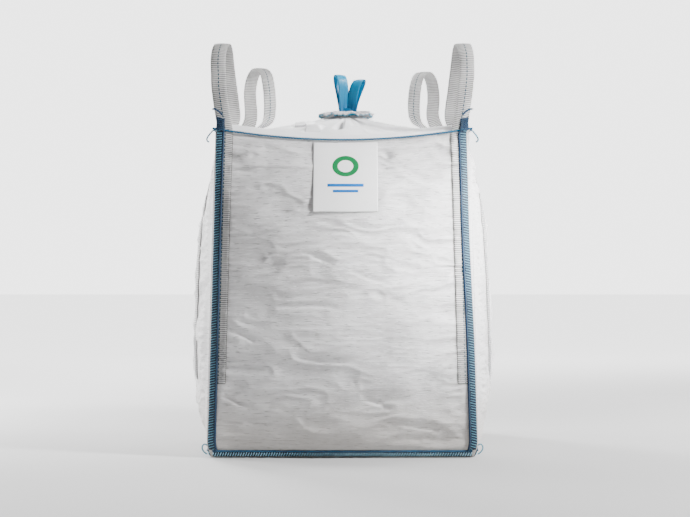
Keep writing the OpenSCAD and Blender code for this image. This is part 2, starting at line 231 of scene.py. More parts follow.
# Creases of the front that are worth placing: x, z at both ends, half-width and height
CREASES = (
    (-376, 958, -252, 990, 8, 5.0), (-300, 980, -96, 984, 9, 3.0), (-376, 1000, -262, 1056, 10, 6.0),
    (-292, 741, -190, 771, 8, 4.0), (-140, 684, -28, 636, 9, -4.0), (20, 620, 170, 570, 9, -3.5),
    (-392, 432, -290, 384, 8, -5.0), (-400, 205, -300, 168, 10, -5.0), (-300, 168, -130, 120, 12, 4.0),
    (60, 205, 160, 165, 9, -4.5), (-220, 505, -20, 500, 8, -4.0), (120, 560, 300, 590, 9, 3.0),
    (150, 1030, 330, 1068, 14, 4.0), (120, 990, 300, 1004, 10, -3.0), (330, 300, 395, 335, 10, 3.0),
    (-410, 118, -330, 112, 7, -4.0), (180, 110, 330, 96, 11, -4.0), (-120, 88, 60, 82, 12, 4.0),
)


def relief(side, x, z):
    """How far the loose cloth stands out of, or sinks into, the smooth shape."""
    x, z = np.broadcast_arrays(np.asarray(x, float), np.asarray(z, float))
    edge = np.maximum(corner(z) - np.abs(x), 0)
    seed = 40 * side
    warp = 0.9 * noise(x / 95, z / 60, seed + 1)
    patch = 0.55 + 0.45 * noise(x / 210, z / 160, seed + 2)
    lean = 0.30 * np.sign(x) * (z - 560) / 560
    rolls = 7.5 * noise(x / 240 + 3, z / 110 + warp, seed + 3) + 3.6 * noise(x / 110, z / 62, seed + 4)
    crinkles = 6.2 * patch * ridges(x / 130 + warp, (z + lean * x) / 36 + warp, seed + 5)
    small = 2.2 * ridges(x / 52 + warp, z / 15, seed + 6) * (0.5 + 0.5 * noise(x / 80, z / 50, seed + 7))
    slants = 4.2 * patch * ridges((x * 0.92 + z * 0.39) / 160, (z * 0.92 - x * 0.39) / 42, seed + 8)
    calm = ease((edge - 18) / 50) * ease((1094 - z) / 50) * ease((z - 8) / 50)
    if side in (LEFT, RIGHT):
        under_leg = ease((48 - np.abs(np.abs(x) - SIDE_LEG)) / 22) * ease((z - LEG_FOOT + 22) / 25)
        calm = calm * (1 - 0.8 * under_leg)
    out = calm * (rolls + crinkles + small + slants)
    for corner_z, reach, height in ((1085, 300, 4.0 if side == FRONT else 12.0), (25, 240, 10.0)):
        rise = np.abs(z - corner_z)
        r, angle = np.hypot(edge, rise), np.arctan2(rise, edge + 1)
        fan = noise(angle * 4.4, np.sign(x) * 2.3 + corner_z / 300 + r / 400, seed + 9)
        away = ease((r - 45) / 100) * np.exp(-((r / reach) ** 2)) * ease(edge / 40)
        out = out + height * fan * away * ease(rise / 40)
    pucker = 1.4 * np.sin(TAU * z / 23 + 3 * noise(z / 60, 5, seed + 10))
    pucker = pucker * np.exp(-np.abs(edge - 62) / 26)
    out = out + pucker * ease((edge - 44) / 12) * ease((1080 - z) / 40) * ease((z - 40) / 40)
    if side == FRONT:
        for x0, z0, x1, z1, width, height in CREASES:
            length = math.hypot(x1 - x0, z1 - z0)
            dx, dz = (x1 - x0) / length, (z1 - z0) / length
            along = ((x - x0) * dx + (z - z0) * dz) / length
            off = (z - z0) * dx - (x - x0) * dz + 5 * noise(x / 90, z / 90, 77)
            rise = np.sqrt(np.clip(np.sin(math.pi * np.clip(along, 0, 1)), 0, 1)) * ease((edge - 20) / 40)
            breadth = width * np.where(off < 0, 0.55, 1.5)
            out = out + 1.6 * height * np.exp(-((off / breadth) ** 2)) * rise
        under = ease((LABEL_W / 2 + 30 - np.abs(x - LABEL_X)) / 40) * ease((z - LABEL_FOOT + 30) / 40)
        out = out * (1 - 0.8 * under)
    return out


def on_face(side, x, z, out=0.0, loose=1.0):
    """A point of a side, out mm outside its cloth."""
    x, z, out = np.broadcast_arrays(np.asarray(x, float), np.asarray(z, float), np.asarray(out, float))
    full = 1 - (x / corner(z)) ** 2
    proud = loose * relief(side, x, z) if loose else 0
    depth = corner(z) + belly(z) * full + out + proud
    return turned(np.stack([x, -depth, z - sag(z) * full], axis=-1), side)


# ---- Looks ----
class Look:
    """A procedural material: nodes that feed one Principled shader. Lengths in it are metres."""

    def __init__(self, name, **sockets):
        self.material = bpy.data.materials.new(name)
        self.material.use_nodes = True
        self.tree = self.material.node_tree
        self.shader = self.tree.nodes["Principled BSDF"]
        for socket, value in sockets.items():
            self.shader.inputs[socket.replace("_", " ")].default_value = value
        self.flat = self.node("UVMap", uv_map="flat").outputs["UV"]
        split = self.node("SeparateXYZ", {0: self.flat})
        self.u, self.v = split.outputs[0], split.outputs[1]
        self.normal = None

    def node(self, kind, inputs=None, **settings):
        made = self.tree.nodes.new("ShaderNode" + kind)
        for key, value in settings.items():
            setattr(made, key, value)
        for key, value in (inputs or {}).items():
            if isinstance(value, bpy.types.NodeSocket):
                self.tree.links.new(value, made.inputs[key])
            else:
                made.inputs[key].default_value = value
        return made

    def math(self, operation, a, b=0.0, c=0.0):
        return self.node("Math", {0: a, 1: b, 2: c}, operation=operation).outputs[0]

    def wave(self, value, pitch, phase=0.0):
        """0 to 1 and back for each pitch of value."""
        turn = self.math("MULTIPLY_ADD", value, TAU / pitch, phase)
        return self.math("MULTIPLY_ADD", self.math("SINE", turn), 0.5, 0.5)

    def noise(self, scales, detail=3.0, roughness=0.5, distortion=0.0, offset=(0, 0, 0)):
        place = self.node("Mapping", {"Vector": self.flat, "Scale": scales, "Location": offset}).outputs[0]
        settings = {"Scale": 1.0, "Detail": detail, "Roughness": roughness, "Distortion": distortion}
        return self.node("TexNoise", {"Vector": place, **settings}).outputs[0]

    def span(self, value, low, high, to_low=0.0, to_high=1.0):
        inputs = {"Value": value, "From Min": low, "From Max": high, "To Min": to_low, "To Max": to_high}
        return self.node("MapRange", inputs, interpolation_type="SMOOTHSTEP").outputs[0]

    def mix(self, amount, a, b):
        made = self.tree.nodes.new("ShaderNodeMix")
        made.data_type = "RGBA"
        for key, value in ((0, amount), (6, a), (7, b)):
            if isinstance(value, bpy.types.NodeSocket):
                self.tree.links.new(value, made.inputs[key])
            else:
                made.inputs[key].default_value = value if key == 0 else (*value, 1)
        return made.outputs[2]

    def bump(self, height, distance):
        inputs = {"Height": height, "Distance": distance, "Strength": 1.0}
        if self.normal is not None:
            inputs["Normal"] = self.normal
        self.normal = self.node("Bump", inputs).outputs[0]

    def finish(self, colour, roughness):
        self.tree.links.new(colour, self.shader.inputs["Base Color"])
        self.tree.links.new(roughness, self.shader.inputs["Roughness"])
        if self.normal is not None:
            self.tree.links.new(self.normal, self.shader.inputs["Normal"])
        return self.material


def cloth_look(name, dark, light, grime=0.0, offset=0.0, dash=1.0, rim=None):
    """Woven tape cloth with slubs along its weft, soft mottling, dust near its foot and, where rim is given,
    painted shade from that span of its length on.
    """
    look = Look(name, Specular_IOR_Level=0.35, Sheen_Weight=0.12, Sheen_Roughness=0.5)
    warp = look.math("SUBTRACT", look.wave(look.u, 0.0056), 0.5)
    weft = look.math("SUBTRACT", look.wave(look.v, 0.0044), 0.5)
    weave = look.math("MULTIPLY", warp, weft)
    mottle = look.noise((5, 4, 1), 4, 0.6, offset=(offset, 2, 0))
    bands = look.noise((1.5, 130, 1), 2, 0.6, offset=(offset, 0, 3))
    bright = look.span(look.noise((30, 300, 1), 2, 0.5, offset=(offset, 0, 1)), 0.58, 0.68)
    dim = look.span(look.noise((30, 230, 1), 2, 0.5, offset=(offset, 4, 7)), 0.58, 0.68)
    colour = look.mix(look.span(mottle, 0.3, 0.7), dark, light)
    colour = look.mix(look.span(bands, 0.35, 0.75, 0.0, 0.35), colour, tuple(0.86 * c for c in dark))
    paler = tuple(min(1, 1.14 * c) for c in light)
    colour = look.mix(look.math("MULTIPLY", bright, 0.55 * dash), colour, paler)
    colour = look.mix(look.math("MULTIPLY", dim, 0.75 * dash), colour, tuple(0.50 * c for c in dark))
    if grime:
        ragged = look.math("MULTIPLY", look.noise((9, 14, 1), 4, 0.65), 0.12)
        low = look.span(look.math("ADD", look.v, ragged), 0.06, 0.36, 1.0, 0.0)
        colour = look.mix(look.math("MULTIPLY", low, grime), colour, (0.42, 0.38, 0.33))
    # Painted shade: from the rim span of the flat v on, the cloth turns a darker grey
    if rim:
        colour = look.mix(look.span(look.v, *rim), colour, (0.40, 0.39, 0.41))
    look.bump(look.noise((40, 70, 1), 4, 0.6, 0.4, offset=(offset, 1, 0)), 0.0011)
    look.bump(look.math("SUBTRACT", bright, dim), 0.0005 * dash)
    look.bump(weave, 0.0006)
    return look.finish(colour, look.span(mottle, 0.3, 0.7, 0.46, 0.62))


def webbing_look(name, dark, light):
    """Ribbed webbing with a dashed tracer down its outer face, painted shade in the grooves between its ribs
    and painted shade along its edges.
    """
    look = Look(name, Specular_IOR_Level=0.3, Sheen_Weight=0.1, Sheen_Roughness=0.45)
    rib = look.wave(look.v, 0.0064, -math.pi / 2)
    yarn = look.wave(look.u, 0.0021)
    mottle = look.noise((30, 9, 1), 4, 0.6)
    # How strong the painted groove shade is, varying along the webbing
    strength = look.span(look.noise((25, 12, 1), 2, 0.5, offset=(3, 1, 0)), 0.3, 0.7, 0.65, 1.0)
    colour = look.mix(look.span(mottle, 0.3, 0.7), dark, light)
    # Painted shade in the grooves between the ribs, darkest down in each groove
    groove_shade = look.span(rib, 0.0, 0.68, 1.0, 0.0)
    colour = look.mix(look.math("MULTIPLY", groove_shade, strength), colour, tuple(0.06 * c for c in dark))
    # Painted shade along both edges of the webbing
    edge = look.span(look.math("ABSOLUTE", look.u), 0.0215, 0.0250)
    colour = look.mix(look.math("MULTIPLY", edge, 0.25), colour, (0.30, 0.29, 0.28))
    # Flat coordinates run from -25 to 25 mm on the outer face, and from 30 to 80 mm on the inner one
    middle = look.span(look.math("ABSOLUTE", look.u), 0.0012, 0.0022, 1.0, 0.0)
    dashes = look.span(look.wave(look.v, 0.0128, 1.2), 0.15, 0.45)
    colour = look.mix(look.math("MULTIPLY", middle, dashes), colour, (0.006, 0.045, 0.075))
    look.bump(look.noise((300, 300, 1), 3, 0.6), 0.0003)
    look.bump(yarn, 0.00025)
    return look.finish(colour, look.span(mottle, 0.3, 0.7, 0.5, 0.66))


def thread_look(name, dark, light, pitch=0.004):
    """Twisted thread: plies that catch the light, and fluff."""
    look = Look(name, Specular_IOR_Level=0.4, Sheen_Weight=0.2, Sheen_Roughness=0.4)
    ply = look.wave(look.math("ADD", look.v, look.math("MULTIPLY", look.u, 1.6)), pitch)
    patch = look.noise((40, 22, 1), 4, 0.6)
    tone = look.math("MULTIPLY_ADD", patch, 0.8, look.math("MULTIPLY", ply, 0.5))
    colour = look.mix(look.span(tone, 0.35, 0.95), dark, light)
    look.bump(look.noise((900, 900, 1), 2, 0.5), 0.0002)
    look.bump(ply, 0.0004)
    return look.finish(colour, look.span(patch, 0.3, 0.7, 0.5, 0.7))


def tape_look():
    """Glossy tie tape with fine lines along it, paler where it is rubbed, with painted shade near the ends of
    a length and a painted highlight further along it.
    """
    look = Look("tie_tape", Specular_IOR_Level=0.3)
    lines = look.wave(look.u, 0.0016)
    streak = look.noise((420, 6, 1), 3, 0.5)
    rub = look.noise((60, 30, 1), 4, 0.7)
    # Painted light along the tape: painted shade where the flat v is low, at the loops' feet, the knot and
    # the wraps' start, and a painted highlight where it is high
    low = look.span(look.math("ADD", look.v, look.math("MULTIPLY", rub, 0.03)), 0.02, 0.09)
    colour = look.mix(low, (0.0, 0.09, 0.22), (0.0, 0.15, 0.30))
    colour = look.mix(look.span(look.v, 0.08, 0.16), colour, (0.0, 0.24, 0.42))
    colour = look.mix(look.span(streak, 0.4, 0.7, 0.0, 0.3), colour, (0.0, 0.22, 0.40))
    colour = look.mix(look.span(rub, 0.62, 0.75, 0.0, 0.3), colour, (0.01, 0.27, 0.45))
    look.bump(look.noise((70, 40, 1), 3, 0.6), 0.0010)
    look.bump(lines, 0.0001)
    return look.finish(colour, look.span(streak, 0.3, 0.7, 0.24, 0.42))


def print_look(name, ink, worn):
    """Printed or plain film of the label: an even tone with scuffs and a faint grain."""
    look = Look(name, Specular_IOR_Level=0.25)
    grain = look.noise((700, 700, 1), 2, 0.6)
    scuff = look.noise((24, 40, 1), 5, 0.7, 0.6)
    colour = look.mix(look.span(scuff, 0.55, 0.80, 0.0, 0.7), ink, worn)
    colour = look.mix(look.span(grain, 0.3, 0.8, 0.0, 0.25), colour, tuple(0.85 * c for c in ink))
    look.bump(look.noise((9, 14, 1), 3, 0.5), 0.0016)
    look.bump(grain, 0.0001)
    return look.finish(colour, look.span(scuff, 0.3, 0.8, 0.36, 0.55))


def grain_look():
    """Loose granules, with painted shade between them."""
    look = Look("bulk_product", Specular_IOR_Level=0.3)
    cells = look.node("TexVoronoi", {"Vector": look.flat, "Scale": 260.0})
    tone = look.noise((60, 60, 1), 4, 0.6)
    colour = look.mix(look.span(tone, 0.3, 0.7), (0.42, 0.33, 0.19), (0.62, 0.53, 0.36))
    # Painted shade between the granules: darker towards the edge of each cell
    colour = look.mix(look.span(cells.outputs["Distance"], 0.2, 0.8, 0.0, 0.6), colour, (0.24, 0.18, 0.10))
    look.bump(cells.outputs["Distance"], 0.0012)
    return look.finish(colour, look.span(tone, 0.3, 0.7, 0.6, 0.8))


CLOTH = [
    cloth_look(f"cloth_{s}", (0.55, 0.54, 0.545), (0.70, 0.695, 0.70), 0.5, 3.7 * k)
    for k, s in enumerate(SIDES)]
# The skirt's cloth darkens with painted shade from its neck on, over the ruffle, the throat and the inner
# skin
SKIRT_CLOTH = cloth_look("skirt_cloth", (0.76, 0.76, 0.77), (0.87, 0.87, 0.88), 0.0, 21.0, 0.4, (0.59, 0.62))
BASE_CLOTH = cloth_look("base_cloth", (0.42, 0.41, 0.40), (0.56, 0.55, 0.53), 0.0, 27.0)
FLANGE = cloth_look("seam_cloth", (0.006, 0.013, 0.028), (0.014, 0.032, 0.060), 0.0, 31.0)
WEBBING = webbing_look("webbing", (0.47, 0.465, 0.46), (0.62, 0.615, 0.61))
NAVY = thread_look("navy_thread", (0.001, 0.012, 0.040), (0.003, 0.050, 0.12))
CORD_BLUE = thread_look("cord_thread", (0.001, 0.035, 0.10), (0.002, 0.12, 0.24))
BLUE = thread_look("blue_thread", (0.02, 0.16, 0.27), (0.16, 0.42, 0.52))
PALE = thread_look("pale_thread", (0.16, 0.52, 0.76), (0.62, 0.88, 0.96))
TEAL = thread_look("teal_thread", (0.0, 0.06, 0.12), (0.0, 0.17, 0.27))
# A near-black thread that stands for painted shadow along the inner edges and feet of the front and back legs
EDGE_SHADOW_THREAD = thread_look("edge_shadow_thread", (0.018, 0.018, 0.016), (0.06, 0.06, 0.05))
GREY = thread_look("sewing_thread", (0.20, 0.20, 0.22), (0.46, 0.46, 0.48))
TAPE = tape_look()
LABEL_FILM = print_look("label_film", (0.80, 0.80, 0.80), (0.72, 0.72, 0.71))
GREEN_INK = print_look("green_ink", (0.0, 0.16, 0.045), (0.03, 0.26, 0.10))
BLUE_INK = print_look("blue_ink", (0.0, 0.12, 0.42), (0.04, 0.24, 0.52))
PRODUCT = grain_look()

# ---- Loose thread ends: free cords, along the same points as in the CAD ----
TAILS = {
    "tail_up": (6.4, NAVY, [
        (-400, -436, 1139), (-405, -436, 1145), (-411, -436, 1151), (-418, -436, 1156),
        (-426, -436, 1159), (-434, -437, 1160)]),
    "tail_hook": (4.6, TEAL, [
        (-425, -433, 1091), (-433, -433, 1087), (-441, -433, 1078), (-447, -433, 1070), (-451, -434, 1063),
        (-452, -434, 1057), (-449, -434, 1052), (-444, -434, 1050)]),
    "tail_base": (4.6, BLUE, [
        (-450, -444, 40), (-456, -446, 44), (-462, -447, 43), (-466, -448, 37), (-466, -448, 29),
        (-462, -448, 21), (-456, -447, 15), (-450, -446, 11)]),
}
for tail, (thick, look, keys) in TAILS.items():
    for hand, sign in (("left", 1), ("right", -1)):
        route = spline([(sign * x, y, z) for x, y, z in keys], 5)
        made = piece(
            f"{tail}_{hand}_thread", *tube(route, thick / 2, 9, 0.15, 0.14), look, "overlock_thread",
            replaces=[f"{tail}_{hand}"])

# ---- Side panels ----
ACROSS = np.linspace(-0.999, 0.999, 151)
UP = np.concatenate([[2.6, 7], np.linspace(12, BAG_H, 282)])
for side, name in enumerate(SIDES):
    z = np.broadcast_to(UP[:, None], (len(UP), len(ACROSS)))
    x = ACROSS[None] * corner(z)
    loose = relief(side, x, z)
    outer = on_face(side, x, z, loose, loose=0)
    inner = on_face(side, x * (1 - CLOTH_T / corner(z)), z, loose - CLOTH_T, loose=0)
    made = piece(
        f"cloth_{name}", *sheet(outer, inner, np.stack([x, z], axis=-1)), CLOTH[side], "woven_cloth",
        replaces=[f"{name}_panel"])

# ---- Base panel ----
line = np.linspace(-BASE_HALF, BASE_HALF, 60)
bx, by = np.meshgrid(line, line)
lift = 0.7 * noise(bx / 60, by / 60, 500)
lift = lift * ease((BASE_HALF - np.abs(bx)) / 40) * ease((BASE_HALF - np.abs(by)) / 40)
low = np.stack([bx, by, np.maximum(lift, 0)], axis=-1)
high = np.stack([bx, by, CLOTH_T + np.minimum(lift, 0)], axis=-1)
made = piece(
    "cloth_base", *sheet(low, high, np.stack([bx, by], axis=-1)), BASE_CLOTH, "woven_cloth",
    replaces=["base_panel"])


# ---- Skirt: from the top edge over the product to the neck, and out into the ruffle ----
EDGE_W = (np.arange(170) + 0.5) / 85 - 1
EDGE = bag_ring(EDGE_W, BAG_H)
AROUND = np.arctan2(EDGE[:, 1], EDGE[:, 0] - NECK_X)
PLEATS = np.random.default_rng(11)
# Tucks of the skirt: direction from the neck, depth, width in radians, and where along the skirt they run
TUCKS = [(-1.66, 34, 0.065, 0.30, 0.80), (-1.30, 8, 0.05, 0.45, 0.98)]
TUCKS += [
    (a + PLEATS.uniform(-0.08, 0.08), PLEATS.uniform(10, 22), PLEATS.uniform(0.03, 0.06),
     PLEATS.uniform(0.2, 0.5), 0.96)
    for a in np.arange(0.1, 3.9, 0.24)]
# Mouths of two pleats whose cloth stands up like a lip: direction, half-width in radians, where, and height
MOUTHS = ((-2.18, 0.055, 0.50, 12), (-1.93, 0.070, 0.28, 14))


def skirt_ring(s, inset):
    """The skirt's ring of points s of the way from the top edge to the neck."""
    neck = NECK_R + 2 - inset
    target = np.stack([NECK_X + neck * np.cos(AROUND), neck * np.sin(AROUND)], axis=-1)
    edge = bag_ring(EDGE_W, BAG_H, inset)
    xy = edge[:, :2] * (1 - s) + target * s
    rise = dome_rise(s, edge[:, 2])
    z = edge[:, 2] * (1 - rise) + DOME_Z * rise + (NECK_Z - DOME_Z) * s**4
    z = z - 6 * ease(s / 0.15) * ease((1 - s) / 0.3)
    z = z + 15 * ease((edge[:, 2] - 1076) / 20) * ease(s / 0.10) * ease((0.42 - s) / 0.3)
    z = z + 3.0 * noise(AROUND * 2.2 + 9, s * 3, 61) * ease(s / 0.12)
    z = z + 2.4 * ridges(AROUND * 5.5 + 9, s * 4, 62) * ease(s / 0.15) * (1 - 0.4 * s)
    for at, depth, width, start, end in TUCKS:
        off = np.angle(np.exp(1j * (AROUND - at - 0.10 * (s - 0.5)))) / (width * (1.25 - 0.6 * s))
        window = ease((s - start) / 0.16) * ease((end - s) / 0.10)
        z = z - window * (depth * np.exp(-(off**4)) - 0.2 * depth * np.exp(-((off - 1.8) ** 2)))
    for at, width, low, high in MOUTHS:
        mouth = ease((1.2 - np.abs(np.angle(np.exp(1j * (AROUND - at)))) / width) / 0.35)
        lip = ease((low + 0.18 - s) / 0.14) if s >= low else 0
        z = z + mouth * (high * lip - (18 * ease((s - low + 0.09) / 0.05) if s < low else 0))
        xy = xy + (mouth * (14 if low <= s < low + 0.04 else 0))[:, None] * unit(edge[:, :2])
    gather = 2.6 * ease((s - 0.72) / 0.2) * np.sin(26 * AROUND + 2 * np.sin(3 * AROUND))
    r = gather * ease((s - 0.85) / 0.15)
    xy = xy + np.stack([r * np.cos(AROUND), r * np.sin(AROUND)], axis=-1)
    return np.column_stack([xy, z + 0.5 * gather])


def neck_ring(r, z, k, lift=0.0):
    """A ring of the gathered neck at k = 0, or of the crumpled ruffle as k goes to 1."""
    folds = np.sin(9 * AROUND + 1.3) + 0.7 * np.sin(16 * AROUND + 2.1 * np.sin(AROUND))
    folds = folds + 0.5 * np.sin(29 * AROUND)
    small = 2.2 * np.sin(26 * AROUND + 2 * np.sin(3 * AROUND))
    rim = 7 * noise(AROUND * 3.2 + 9, 2, 63) + 4.0 * noise(AROUND * 9 + 30, 2, 65)
    radius = r + small * (1 - k) * min(1, r / 30) + k * (rim + 2.0 * np.sin(37 * AROUND))
    height = z + k * (3.2 * folds + 4.0 * noise(AROUND * 2.1 + 9, 6, 64)) + lift
    return np.column_stack([NECK_X + radius * np.cos(AROUND), radius * np.sin(AROUND), height])


rows = [skirt_ring(s, 0.0) for s in np.linspace(0, 1, 64)]
rows += [neck_ring(NECK_R, z, 0.0) for z in (1172, 1175, 1178, 1181, 1184)]
for k in np.linspace(0.12, 1, 12):
    rows.append(neck_ring(NECK_R + (RUFFLE_R - NECK_R) * k, RUFFLE_Z - DROOP * k * k, k))
for k in np.linspace(1, 0.1, 12):
    r = NECK_R + (RUFFLE_R - NECK_R) * k - 0.5
    rows.append(neck_ring(r, RUFFLE_Z - DROOP * k * k, k, 3.4 - 2 * (1 - k)))
rows += [neck_ring(r, z, 0.0) for r, z in ((30, 1188), (22, 1187), (14, 1184), (8, 1178), (5, 1168))]
rows += [skirt_ring(s, 2.0) - (0, 0, 2) for s in np.linspace(0.99, 0, 48)]
rings = np.array(rows)
# The rings run up the outer skin, round the ruffle, down the throat and back down the inner skin
run = np.concatenate([[0], np.cumsum(np.linalg.norm(np.diff(rings[:, 0], axis=0), axis=1))])
flat = np.stack(np.broadcast_arrays(AROUND[None] * 300, run[:, None]), axis=-1)
skirt = piece("skirt", *loft(rings, flat, closed=True), SKIRT_CLOTH, "skirt_cloth", replaces=["top_skirt"])

# Blue overlock under the rim of the ruffle
HEM_R = 94
hem_k = (HEM_R - NECK_R) / (RUFFLE_R - NECK_R)
hem = neck_ring(HEM_R, RUFFLE_Z - DROOP * hem_k**2, hem_k, -2.2)
swing = np.abs(2 * ((np.arange(len(hem)) / 4) % 1) - 1)[:, None]
out = np.column_stack([np.cos(AROUND), np.sin(AROUND), 0 * AROUND])
hem_parts = [
    tube(hem, 1.5, 7, 0.2, 0.12, closed=True),
    tube(hem - out * (1 + 4 * swing), 0.7, 6, closed=True)]
piece("ruffle_hem", *joined(hem_parts), BLUE, "overlock_thread", replaces=["skirt_hem"])

# ---- Bulk product, inside the cloth ----
FILL_W, FILL_INSET, FILL_NECK_R = np.linspace(-1, 1, 41)[:-1], 16, 34
rings = [bag_ring(FILL_W, z, FILL_INSET) for z in np.linspace(6, 1060, 60)]
edge = bag_ring(FILL_W, BAG_H, FILL_INSET)
a = np.arctan2(edge[:, 1], edge[:, 0])
for s in np.linspace(0.06, 0.93, 16):
    rise = dome_rise(s, edge[:, 2])
    rings.append(np.column_stack([
        edge[:, 0] * (1 - s) + (NECK_X + FILL_NECK_R * np.cos(a)) * s,
        edge[:, 1] * (1 - s) + FILL_NECK_R * np.sin(a) * s,
        edge[:, 2] * (1 - rise) + DOME_Z * rise - 58 * ease(s / 0.2) - 4]))
rings = np.array(rings)
flat = np.stack(np.broadcast_arrays(
    np.arange(rings.shape[1])[None] * 22.0, np.arange(len(rings))[:, None] * 18.0), axis=-1)
piece("bulk_product", *loft(rings, flat), PRODUCT, "bulk_product", replaces=["bulk_fill"])

# ---- Lifting straps: each one leg, loop and leg, in one length ----
# Keys of the free loops: place, and the way of the webbing's width in degrees; mirrored for the right
FRONT_LOOP = [
    (-398, -420, 1130, 0), (-406, -421, 1180, 0), (-414, -422, 1250, 0), (-416, -413, 1332, 0),
    (-410, -382, 1377, 2), (-404, -338, 1389, 4), (-400, -292, 1370, 6), (-396, -262, 1320, 8),
    (-388, -248, 1250, 10), (-380, -243, 1190, 14), (-376, -241, 1150, 24), (-382, -240, 1118, 50)]
BACK_LEFT_LOOP = [
    (-396, 420, 1130, 180), (-370, 424, 1162, 186), (-354, 429, 1212, 194), (-358, 424, 1300, 202),
    (-346, 396, 1360, 205), (-318, 345, 1388, 205), (-290, 290, 1362, 205), (-276, 252, 1300, 206),
    (-272, 242, 1230, 208), (-278, 240, 1184, 218), (-308, 240, 1153, 248), (-382, 240, 1122, 270)]
BACK_RIGHT_LOOP = [
    (-396, 420, 1130, 180), (-366, 424, 1162, 186), (-347, 429, 1212, 194), (-350, 424, 1290, 202),
    (-338, 396, 1348, 205), (-311, 345, 1374, 205), (-283, 290, 1348, 205), (-269, 252, 1290, 206),
    (-265, 242, 1226, 208), (-272, 240, 1184, 218), (-304, 240, 1153, 248), (-382, 240, 1122, 270)]
# How far the middle of a leg stands from its corner: left (1) and right (-1) at the front, and at the back
FRONT_LEG, BACK_LEG = {1: 33, -1: 38}, 27
WEB_MID = WEB_GAP + WEB_T / 2
SPAN = np.array([-1, -0.97, -0.6, -0.2, 0.2, 0.6, 0.97, 1]) * WEB_W / 2
THICK = np.array([0.5, 0.95, 1, 1, 1, 1, 0.95, 0.5]) * WEB_T / 2
RIB, RIB_DEEP, WEB_STEP = 6.4, 0.5, 1.28


def ribs(run):
    """Half the thickness of the webbing at each place along and across it."""
    return THICK[None] - RIB_DEEP * (1 - np.abs(np.sin(math.pi * run / RIB)) ** 0.5)[:, None]


def leg(side, middle, z, run, toward, face):
    """Both skins of a sewn leg.

    toward is the way of its width on the side, and face is 1 where its outer skin shows."""
    x = middle(z)[:, None] + toward * SPAN
    return [on_face(side, x, z[:, None], WEB_MID + k * face * ribs(run)) for k in (1, -1)]


def strap(name, loop):
    """One length of webbing: a leg on the front or back, the free loop and a leg on the left or right."""
    edge, hand = name.split("_")
    front, sign = edge == "front", 1 if hand == "left" else -1
    first_side, last_side = FRONT if front else BACK, LEFT if sign > 0 else RIGHT
    corner_x = -sign if front else sign
    along = (SIDE_LEG if front else -SIDE_LEG) * sign
    turn, face = (-1, 1) if front else (1, -1)
    z_up = np.arange(LEG_FOOT, 1092, WEB_STEP)

    def first_x(z):
        return corner_x * (corner(z) - (FRONT_LEG[sign] if front else BACK_LEG))

    def last_x(z):
        return np.full(np.shape(z), float(along))

    def end(side, middle, toward, z):
        """Place of a leg's middle at one height, and the direction of its width."""
        x = middle(np.array([z]))[0]
        a, m, b = (on_face(side, x + toward * dx, z, WEB_MID) for dx in (-12, 0, 12))
        return np.concatenate([m, unit(b - a)])

    keys = np.array(loop, float)
    yaw = np.radians(keys[:, 3]) * sign
    keys = np.column_stack([keys[:, :3] * (sign, 1, 1), np.cos(yaw), np.sin(yaw), 0 * yaw])
    keys = np.concatenate([
        [end(first_side, first_x, 1, z_up[-1])], keys, [end(last_side, last_x, turn, z_up[-1])]])
    free, free_run = spaced(spline(keys, 12), WEB_STEP)
    free, free_run = free[1:-1], free_run[1:-1]
    place = free[:, :3]
    direction = unit(np.gradient(place, axis=0))
    width = unit(free[:, 3:6] - direction * (direction * free[:, 3:6]).sum(axis=1, keepdims=True))
    outward = np.cross(width, direction)
    start = WEB_STEP * len(z_up)
    run_free = start + free_run
    run_last = run_free[-1] + WEB_STEP * (1 + np.arange(len(z_up)))
    loose = ease(np.minimum(free_run, free_run[-1] - free_run) / 60)[:, None]
    cup = loose * 1.6 * (SPAN[None] / 25) ** 2
    wander = loose * 0.6 * noise(run_free / 40, 0, 91 + int(front))[:, None]
    skins = leg(first_side, first_x, z_up, WEB_STEP * np.arange(len(z_up)), 1, 1)
    last = leg(last_side, last_x, z_up[::-1], run_last, turn, face)
    for k, out in ((0, 1), (1, -1)):
        lift = out * ribs(run_free) - cup
        aside = width[:, None] * (SPAN[None] + wander)[..., None]
        ring = place[:, None] + aside + outward[:, None] * lift[..., None]
        skins[k] = np.concatenate([skins[k], ring, last[k]])
    run = np.concatenate([WEB_STEP * np.arange(len(z_up)), run_free, run_last])[:, None]
    flat = [np.stack(np.broadcast_arrays(SPAN[None] + shift, run), axis=-1) for shift in (0, 55)]
    rings = np.concatenate([skins[0], skins[1][:, ::-1]], axis=1)
    flat = np.concatenate([flat[0], flat[1][:, ::-1]], axis=1)
    made = piece(
        f"strap_{name}", *loft(rings, flat), WEBBING, "webbing", body=None,
        replaces=[f"lifting_loop_{name}", f"leg_{edge}_{hand}", f"leg_{hand}_{edge}"])
    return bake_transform(made)


strap("front_left", FRONT_LOOP)
strap("front_right", FRONT_LOOP)
strap("back_left", BACK_LEFT_LOOP)
strap("back_right", BACK_RIGHT_LOOP)


# ---- Stitching of the legs ----
def stitch(side, a, b, out, radius=0.55):
    """One visible stitch from a to b (x, z) that dips into the webbing at both ends."""
    t = np.array([0, 0.2, 0.5, 0.8, 1])
    x, z = a[0] + (b[0] - a[0]) * t, a[1] + (b[1] - a[1]) * t
    return tube(on_face(side, x, z, out + np.array([-0.5, 0.35, 0.6, 0.35, -0.5])), radius, 5)


